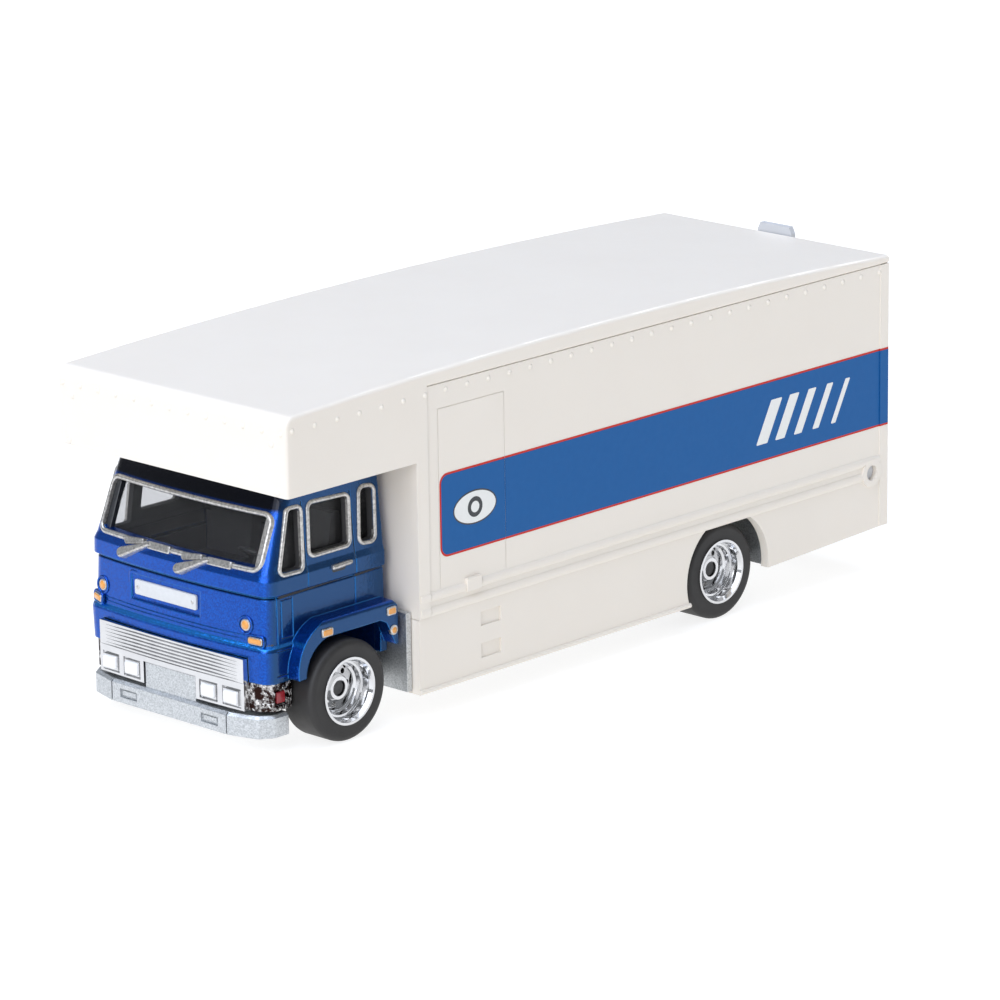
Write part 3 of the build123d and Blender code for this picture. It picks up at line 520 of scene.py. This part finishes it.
def half_round(width, height, sink, steps=7):
    """Section of a bead: a rounded top over a foot that is sunk into the surface."""
    turns = [math.pi * k / steps for k in range(steps + 1)]
    top = [(-width / 2 * math.cos(turn), height * math.sin(turn)) for turn in turns]
    return top + [(width / 2, -sink), (-width / 2, -sink)]


def dome(radius, height, sink, steps=5):
    """Profile of a round head: a sunk foot, then rings that close over the top to a tiny flat."""
    rings = [(0.0, -sink)]
    for k in range(steps):
        turn = math.pi / 2 * k / steps
        rings.append((radius * (1 - math.cos(turn)), height * math.sin(turn)))
    return rings + [(radius * 0.96, height)]


def cushion(inset, height, sink, steps=3):
    """Profile of a flat pad with a rounded edge."""
    shoulder = max(height - inset, 0.0)
    rings = [(0.0, -sink), (0.0, shoulder)]
    for k in range(1, steps + 1):
        turn = math.pi / 2 * k / steps
        rings.append((inset * (1 - math.cos(turn)), shoulder + min(inset, height) * math.sin(turn)))
    return rings


def film(height, inset=0.0):
    """Profile of a printed mark: flat, with its foot just under the surface."""
    return [(inset, -0.03), (inset, height)]


# ---- surfaces that the pieces lie on: place(across, up, lift) in millimetres gives a point ----
cab = skin("cab_shell")
box = skin("box_body")
cap = skin("roof_cap")
insert = skin("grille_insert")


def cab_reach(side, y, z):
    """How far the side of the cab stands from the centre line at a place, or 0 where it is open."""
    place = cab.ray_cast(Vector((side * OUTSIDE_X, y, z)) * MM, Vector((-side, 0, 0)))[0]
    return abs(place.x) / MM if place else 0.0


# the floors of the door and panel lines take the dark interior plastic as painted shade
line_floor = (0.08, 0.2)                            # how far a line's floor lies under the metal beside it
for face in cab_mesh.polygons:
    centre = face.center / MM
    if abs(centre.x) > 14 and face.normal.x * centre.x > 0.7:
        side = 1 if centre.x > 0 else -1
        beside = min(cab_reach(side, centre.y + step, centre.z + step) for step in (-0.25, 0.25))
        if line_floor[0] < beside - abs(centre.x) < line_floor[1]:
            face.material_index = 1


def pillar_reach(z):
    """How far each side of the cab stands out at a height, on the strip between two side windows."""
    y = behind_nose(PILLAR_BACK) / MM
    return {side: abs(hit(cab, (side * OUTSIDE_X, y, z), (-side, 0, 0)).x) / MM for side in SIDES.values()}


sill_side, head_side = pillar_reach(SILL_Z), pillar_reach(HEAD_Z)


def on_cab_side(side):
    """Places on the slanting side of the cab at window height: millimetres behind the nose, and height."""
    slant = (head_side[side] - sill_side[side]) / (HEAD_Z - SILL_Z)

    def place(back, z, lift):
        x = sill_side[side] + slant * (z - SILL_Z) + lift
        return Vector((side * x * MM, behind_nose(back), z * MM))
    return place


def on_flat(side, x):
    """Places on an upright side face that stands this many millimetres from the centre line."""
    def place(back, z, lift):
        return Vector((side * (x + lift) * MM, behind_nose(back), z * MM))
    return place


def front_y(surface, x, z):
    """Y of a node's front at a place, in millimetres."""
    return hit(surface, (x, OUTSIDE_Y, z), (0, 1, 0)).y / MM


screen_low = front_y(cab, 0, SCREEN_LOW_Z)
screen_lean = (front_y(cab, 0, SCREEN_HIGH_Z) - screen_low) / (SCREEN_HIGH_Z - SCREEN_LOW_Z)
screen_bow = (front_y(cab, SCREEN_END_X, SCREEN_LOW_Z) - screen_low) / SCREEN_END_X**2
cab_corner = 1.8                                    # radius of the turn from the front to the side


def on_windscreen(x, z, lift):
    """Places on the leaning, bowed front of the cab at windscreen height, and round its corners."""
    y = screen_low + screen_lean * (z - SCREEN_LOW_Z) + screen_bow * x**2
    half = sill_side[1] + (head_side[1] - sill_side[1]) * (z - SILL_Z) / (HEAD_Z - SILL_Z)
    into_corner = min(max(abs(x) - (half - cab_corner), 0.0), cab_corner)
    y += cab_corner - math.sqrt(cab_corner**2 - into_corner**2)
    return Vector((x * MM, (y - lift) * MM, (z + lift * screen_lean) * MM))


def on_front(surface):
    """Places on the front of a node, found by a ray for each point."""
    def place(x, z, lift):
        return Vector((x * MM, (front_y(surface, x, z) - lift) * MM, z * MM))
    return place


def on_plane_front(surface, x, z):
    """Places on the plane through one point of a node's front, square to the surface there."""
    place, normal = surface.ray_cast(Vector((x, OUTSIDE_Y, z)) * MM, Vector((0, 1, 0)))[:2]
    across = Vector((0, 0, 1)).cross(normal).normalized()
    across = across if across.x > 0 else -across
    upward = normal.cross(across).normalized()
    upward = upward if upward.z > 0 else -upward

    def spot(u, v, lift):
        return place + (across * (u - x) + upward * (v - z) + normal * lift) * MM
    return spot


def on_plane_side(surface, side, back, z):
    """Places on the plane through one point of a node's side, square to the surface there."""
    start = Vector((side * OUTSIDE_X * MM, behind_nose(back), z * MM))
    place, normal = surface.ray_cast(start, Vector((-side, 0, 0)))[:2]
    upward = (Vector((0, 0, 1)) - normal * normal.z).normalized()
    along = upward.cross(normal)
    along = along if along.y > 0 else -along

    def spot(u, v, lift):
        return place + (along * (u - back) + upward * (v - z) + normal * lift) * MM
    return spot


# ---- finishes of the added pieces: a material and the record's slot ----
def trim_silver(name):
    """Silver trim paint, brushed on over the casting: grainy, with thin dark patches."""
    material, tree, shader = node_material(name)
    link = tree.links.new
    patches = remap(tree, noise(tree, 0.35, 4, 0.6), 0, 1, 0.3, 0.6)
    link(blend_colours(tree, patches, (0.34, 0.33, 0.31), (0.68, 0.66, 0.63)), shader.inputs["Base Color"])
    link(remap(tree, noise(tree, 0.3, 4), 0.22, 0.42), shader.inputs["Roughness"])
    link(bump(tree, noise(tree, 0.16, 3), 0.02, 0.7, soft_edges(tree, 0.06)), shader.inputs["Normal"])
    shader.inputs["Metallic"].default_value = 0.9
    return material


def gloss_paint(name, low, high, roughness=0.32, grain_mm=0.3, coat=0.5, specular=0.5):
    """A small area of printed or brushed paint."""
    material, tree, shader = node_material(name)
    link = tree.links.new
    link(blend_colours(tree, noise(tree, grain_mm, 4), low, high), shader.inputs["Base Color"])
    link(remap(tree, noise(tree, 1.2, 4), roughness - 0.06, roughness + 0.06), shader.inputs["Roughness"])
    link(bump(tree, noise(tree, grain_mm, 3), 0.008, 0.6, soft_edges(tree, 0.04)), shader.inputs["Normal"])
    shader.inputs["Specular IOR Level"].default_value = specular
    shader.inputs["Coat Weight"].default_value = coat
    shader.inputs["Coat Roughness"].default_value = 0.12
    return material


paint = (cad_materials["cab_paint"], "cab_paint")
plastic = (cad_materials["white_plastic"], "white_plastic")
trim = (trim_silver("trim_paint"), "trim_paint")
amber = (gloss_paint("lamp_amber", (0.66, 0.25, 0.035), (0.88, 0.42, 0.10)), "lamp_amber")
red_lamp = (gloss_paint("lamp_red", (0.22, 0.008, 0.015), (0.40, 0.02, 0.03)), "lamp_red")
lens = (gloss_paint("headlamp_lens", (0.80, 0.80, 0.81), (0.90, 0.90, 0.90), 0.2, 0.6, 1.0), "bright_plating")
plate_paint = (
    gloss_paint("plate_paint", (0.60, 0.61, 0.62), (0.70, 0.71, 0.72), 0.4, 0.5, 0.1),
    "trim_paint",
)
white_print = (
    gloss_paint("badge_white", (0.80, 0.80, 0.77), (0.86, 0.86, 0.84), 0.38, 0.5, 0.2),
    "badge_white",
)
blue_print = (
    gloss_paint("stripe_blue", (0.003, 0.098, 0.315), (0.005, 0.112, 0.350), 0.5, 0.8, 0.0, 0.25),
    "stripe_blue",
)
red_print = (
    gloss_paint("stripe_red", (0.56, 0.022, 0.012), (0.66, 0.040, 0.022), 0.45, 0.4, 0.0, 0.25),
    "stripe_red",
)
# dark print for the badges, also laid as painted shade in the door handles' recesses and as a painted dark
# reflection on the right-hand windscreen reveal
dark_print_and_shade = (
    gloss_paint("badge_dark_and_shade", (0.012, 0.014, 0.018), (0.025, 0.028, 0.034), 0.4, 0.4, 0.2),
    "interior_plastic",
)


# ---- window frames ----
side_windows = {
    "quarter": ([(2.38, 21.3), (6.3, 21.2), (6.82, 28.8), (4.6, 28.85)], 0.7),
    "door": ([(7.4, 22.55), (14.12, 22.55), (14.55, 28.65), (7.9, 28.9)], 0.8),
    "rear_slot": ([(15.52, 22.35), (18.22, 22.2), (18.75, 28.85), (16.25, 29.1)], 0.85),
}
for side_name, side in SIDES.items():
    for window, (corners, radius) in side_windows.items():
        bead(f"{window}_window_frame_{side_name}", on_cab_side(side), rounded(corners, radius),
             half_round(0.52, 0.24, 0.3), trim)
screen_outline = rounded(
    [(-13.7, SCREEN_LOW_Z), (13.7, SCREEN_LOW_Z), (13.6, SCREEN_TOP_Z), (-13.6, SCREEN_TOP_Z)], 1.15, 8
)
bead("windscreen_frame", on_windscreen, along_bow(screen_outline), half_round(0.62, 0.3, 0.35), trim)
# the right-hand reveal takes the dark finish as a painted dark reflection, where the left-hand one is silver
for side_name, side in SIDES.items():
    raised(f"windscreen_reveal_{side_name}", on_windscreen, rectangle((side * 12.91, 25.1), 0.51, 2.8, 0.25),
           [(0.0, -1.0), (0.0, -0.42), (0.08, -0.36)], trim if side > 0 else dark_print_and_shade)


# ---- wipers ----
def wiper(name, start_x):
    """A lever that hangs over the windscreen's sill, its spindle pad, and the blade along the lower frame."""
    pad = teardrop((start_x + 0.4, 21.75), 0.45, (start_x + 3.0, 22.1), 0.32)
    blade = along_bow(rectangle((start_x + 6.05, 21.925), 1.95, 0.425, 0.2))
    lever = teardrop((start_x, 20.3), 0.62, (start_x + 4.4, 21.95), 0.22)
    raised(f"{name}_pad", on_windscreen, pad, [(0.0, -0.4), (0.0, 0.32), (0.1, 0.46)], trim)
    raised(f"{name}_blade", on_windscreen, blade, [(0.0, -0.4), (0.0, 0.34), (0.12, 0.46)], trim)
    raised(f"{name}_lever", on_windscreen, lever,
           [(0.0, -0.5), (0.0, 0.45), (0.08, 0.68), (0.18, 0.8)], trim)


wiper("wiper_right", -8.4)
wiper("wiper_left", 1.7)


# ---- number plate and ridges on the front of the cab ----
plate_centre = (-1.6, 16.4)
plate_across, plate_up, plate_height = 5.3, 0.92, 0.3
plate_place = on_plane_front(cab, *plate_centre)


def on_plate(u, v, lift):
    """Places on the face of the number plate."""
    return plate_place(u, v, lift + plate_height)


raised("number_plate", plate_place, rectangle(plate_centre, plate_across, plate_up, 0.25),
       cushion(0.1, plate_height, 0.1), plate_paint)
bead("number_plate_rim", plate_place, rectangle(plate_centre, plate_across + 0.95, plate_up + 0.8, 0.6),
     half_round(0.55, 0.12, 0.1), paint)
for side_name, side in SIDES.items():
    spot = (plate_centre[0] + side * (plate_across - 0.6), plate_centre[1])
    raised(f"plate_rivet_{side_name}", on_plate, circle(spot, 0.22, 16), dome(0.22, 0.12, 0.05), trim)
for line, height in {"lower": 13.565, "upper": 14.015}.items():
    raised(f"front_ridge_{line}", on_front(cab), along_bow(rectangle((-0.6, height), 12.2, 0.065, 0.05, 2)),
           [(0.0, -0.05), (0.0, 0.05), (0.03, 0.08)], paint)


# ---- lamps and door handles on the cab ----
# on the real casting the whole front sits a little towards the right
round_lamp_x = {"left": 11.7, "right": -13.0}
corner_lamp_x = {"left": 13.25, "right": -13.95}
# each fender lamp's distance behind the nose, height and half length
fender_lamps = {"front": (7.8, 13.8, 0.9), "rear": (18.35, 14.02, 0.75)}
for side_name, side in SIDES.items():
    centre = (round_lamp_x[side_name], 15.3)
    place = on_plane_front(cab, *centre)
    bead(f"round_lamp_rim_{side_name}", place, circle(centre, 1.0), half_round(0.34, 0.2, 0.1), paint)
    raised(f"round_lamp_ring_{side_name}", place, circle(centre, 0.72), cushion(0.1, 0.14, 0.1), trim)
    raised(f"round_lamp_{side_name}", place, circle(centre, 0.6), dome(0.6, 0.34, 0.0), amber)

    centre = (corner_lamp_x[side_name], 13.6)
    place = on_plane_front(cab, *centre)
    bead(f"corner_lamp_rim_{side_name}", place, rectangle(centre, 1.3, 0.65, 0.5),
         half_round(0.3, 0.18, 0.2), paint)
    raised(f"corner_lamp_ring_{side_name}", place, rectangle(centre, 1.1, 0.45, 0.3),
           cushion(0.1, 0.2, 0.2), trim)
    raised(f"corner_lamp_{side_name}", place, rectangle(centre, 0.96, 0.33, 0.22),
           cushion(0.16, 0.34, 0.0), amber)

    for lamp, (back, z, reach) in fender_lamps.items():
        place = on_plane_side(cab, side, back, z)
        raised(f"fender_lamp_ring_{lamp}_{side_name}", place, rectangle((back, z), reach, 0.52, 0.25),
               cushion(0.1, 0.2, 0.3), trim)
        raised(f"fender_lamp_{lamp}_{side_name}", place, rectangle((back, z), reach - 0.16, 0.36, 0.2),
               cushion(0.14, 0.3, 0.0), amber)

    centre = (18.7, 11.6)
    place = on_plane_side(cab, side, *centre)
    raised(f"reflector_ring_{side_name}", place, circle(centre, 0.62), cushion(0.1, 0.18, 0.2), trim)
    raised(f"reflector_{side_name}", place, circle(centre, 0.48), dome(0.48, 0.3, 0.0), amber)

    place = on_plane_side(cab, side, 12.3, 20.5)
    recess = rounded([(10.9, 19.95), (12.8, 19.95), (13.3, 20.5), (10.7, 20.6)], 0.25)
    handle = rounded([(10.6, 20.35), (11.3, 20.3), (13.8, 20.45), (14.0, 21.0), (10.7, 20.9)], 0.2)
    # painted shade: a dark film laid in the recess behind each door handle
    raised(f"handle_recess_{side_name}", place, recess, [(0.0, -0.2), (0.0, 0.015)], dark_print_and_shade)
    raised(f"door_handle_{side_name}", place, handle,
           [(0.0, -0.2), (0.0, 0.3), (0.1, 0.42), (0.22, 0.46)], trim)


# ---- lamps in the grille insert ----
for side_name, side in SIDES.items():
    for ring, reach in {"outer": 10.4, "inner": 6.6}.items():
        centre = (side * reach, 6.6)
        raised(f"headlamp_{ring}_{side_name}", on_plane_front(insert, *centre),
               rectangle(centre, 1.15, 0.8, 0.36), cushion(0.3, 0.34, 0.1), lens)
    centre = (2.4, 6.7)
    raised(f"under_corner_lamp_{side_name}", on_plane_side(insert, side, *centre),
           rectangle(centre, 0.7, 0.7, 0.2), cushion(0.15, 0.3, 0.1), red_lamp)


# ---- printed stripe and marks on the box ----
red_film, blue_film = 0.02, 0.045                   # how far the printed films stand off the plastic
flat_x = hit(box, (OUTSIDE_X, behind_nose(60) / MM, 30), (-1, 0, 0)).x / MM
post_x = hit(box, (OUTSIDE_X, behind_nose(106.2) / MM, 30), (-1, 0, 0)).x / MM
stripe_start, stripe_end = 24.8, 106.95
stripe_low, stripe_high = 19.35, 29.6
stripe_corner, corner_steps = 1.3, 8
edge_line = 0.26                                    # width of the red line round the stripe
door_rear = 35.9
post_start = 105.36                                 # just ahead of the step up to the corner post
line_width, line_depth = 0.09, 0.06                 # the outline of the side door
step_run = 0.001                                    # half the run over which a film takes a step in the side


def box_surface(back):
    """Distance of the box side from the centre line, with its door line and corner post."""
    if abs(back - door_rear) < line_width / 2:
        return flat_x - line_depth
    return post_x if back > post_start else flat_x


def ribbon(name, side, stations, lift, finish):
    """A thin film on the box side through stations of (distance behind nose, low Z, high Z)."""
    vertices, faces = [], []
    for back, low, high in stations:
        x = box_surface(back)
        for z, rise in ((low, -0.05), (high, -0.05), (high, lift), (low, lift)):
            vertices.append((side * (x + rise) * MM, behind_nose(back), z * MM))
    for i in range(0, len(vertices) - 4, 4):
        for k in range(4):
            m = (k + 1) % 4
            faces.append((i + k, i + m, i + 4 + m, i + 4 + k))
    faces += [(0, 1, 2, 3), tuple(range(len(vertices) - 4, len(vertices)))]
    make_piece(name, vertices, faces, finish)


def stripe_stations(inset):
    """Stations of the stripe's outline, drawn in by an inset, with its rounded front corners."""
    radius = stripe_corner - inset
    low, high, front = stripe_low + inset, stripe_high - inset, stripe_start + inset
    stations = []
    for k in range(corner_steps + 1):
        turn = math.pi / 2 * k / corner_steps
        back = front + radius * (1 - math.cos(turn))
        drop = radius * (1 - math.sin(turn))
        stations.append((back, low + drop, high - drop))
    for edge in (door_rear - line_width / 2, door_rear + line_width / 2, post_start):
        stations += [(edge - step_run, low, high), (edge + step_run, low, high)]
    return stations + [(stripe_end, low, high)]


badge = (30.7, 24.5)
badge_oval = oval(badge, 3.7, 2.1)
bar_count, bar_start, bar_pitch = 5, 81.3, 3.6
bar_width, bar_taper = 2.1, 0.3                     # of the first bar, and how much narrower each next one is
bar_low, bar_high, bar_lean = 21.6, 27.0, 2.9
for side_name, side in SIDES.items():
    ribbon(f"stripe_line_{side_name}", side, stripe_stations(0.0), red_film, red_print)
    ribbon(f"stripe_field_{side_name}", side, stripe_stations(edge_line), blue_film, blue_print)

    place = on_flat(side, flat_x)
    raised(f"badge_edge_{side_name}", place, badge_oval, film(0.055), dark_print_and_shade)
    raised(f"badge_{side_name}", place, badge_oval, film(0.065, 0.18), white_print)
    raised(f"badge_disc_{side_name}", place, circle(badge, 1.25), film(0.075), dark_print_and_shade)
    raised(f"badge_centre_{side_name}", place, circle(badge, 0.7), film(0.085), white_print)
    for bar in range(bar_count):
        foot, width = bar_start + bar_pitch * bar, bar_width - bar_taper * bar
        head = foot + bar_lean
        corners = [(foot, bar_low), (foot + width, bar_low), (head + width, bar_high), (head, bar_high)]
        raised(f"mark_bar_{bar + 1}_{side_name}", place, rounded(corners, 0.12, 3), film(0.065), white_print)


# ---- moulding marks on the front of the nose ----
nose_marks = {"upper": (17.0, 37.9), "lower": (17.8, 32.3)}
for side_name, side in SIDES.items():
    for mark, (x, z) in nose_marks.items():
        centre = (side * x, z)
        raised(f"nose_mark_{mark}_{side_name}", on_plane_front(cap, *centre), circle(centre, 0.42, 20),
               dome(0.42, 0.13, 0.05), plastic)


# ---- floor, light and camera ----
def stage_floor():
    """A pale floor, wide enough to fill the view from any side."""
    bm = bmesh.new()
    bmesh.ops.create_grid(bm, x_segments=1, y_segments=1, size=40.0)
    mesh = bpy.data.meshes.new("floor")
    bm.to_mesh(mesh)
    bm.free()
    floor = bpy.data.objects.new("floor", mesh)
    bpy.context.scene.collection.objects.link(floor)
    material, tree, shader = node_material("floor")
    shader.inputs["Base Color"].default_value = (0.3, 0.3, 0.3, 1)
    shader.inputs["Roughness"].default_value = 0.7
    shader.inputs["Emission Color"].default_value = (1, 1, 1, 1)
    shader.inputs["Emission Strength"].default_value = 0.82
    mesh.materials.append(material)


def soft_light(name, direction, strength, colour, spread):
    """A wide, even light that shines along a direction."""
    data = bpy.data.lights.new(name, "SUN")
    data.energy = strength
    data.color = colour
    data.angle = math.radians(spread)
    light = bpy.data.objects.new(name, data)
    light.rotation_mode = "QUATERNION"
    light.rotation_quaternion = Vector(direction).to_track_quat("-Z", "Y")
    bpy.context.scene.collection.objects.link(light)


stage_floor()
soft_light("key_light", (-0.25, 1.0, -0.75), 1.2, (0.95, 1.0, 1.1), 50)
soft_light("top_light", (0.1, 0.15, -1.0), 2.0, (0.90, 1.0, 1.22), 60)
soft_light("low_light", (-0.5, 1.0, -0.3), 0.35, (0.98, 1.0, 1.04), 25)

world = bpy.data.worlds.new("studio")
bpy.context.scene.world = world
world.use_nodes = True
world.node_tree.nodes["Background"].inputs["Color"].default_value = (0.86, 0.90, 0.95, 1)
world.node_tree.nodes["Background"].inputs["Strength"].default_value = 0.35
bpy.context.scene.view_settings.view_transform = "Standard"

AZIMUTH, ELEVATION, ROLL = math.radians(44.0), math.radians(15.65), math.radians(-0.80)
CAMERA_DISTANCE = 645.2 * MM
AIM = Vector((4.89, -3.175, 18.54)) * MM
camera_data = bpy.data.cameras.new("camera")
camera_data.sensor_width = 36.0
camera_data.lens = 188.62
camera_data.clip_start = 0.05
camera_data.clip_end = 100.0
camera = bpy.data.objects.new("camera", camera_data)
bpy.context.scene.collection.objects.link(camera)
backward = Vector((
    math.sin(AZIMUTH) * math.cos(ELEVATION),
    -math.cos(AZIMUTH) * math.cos(ELEVATION),
    math.sin(ELEVATION),
))
camera.location = AIM + backward * CAMERA_DISTANCE
camera.rotation_mode = "QUATERNION"
camera.rotation_quaternion = (-backward).to_track_quat("-Z", "Y") @ Quaternion((0, 0, 1), ROLL)
bpy.context.scene.camera = camera
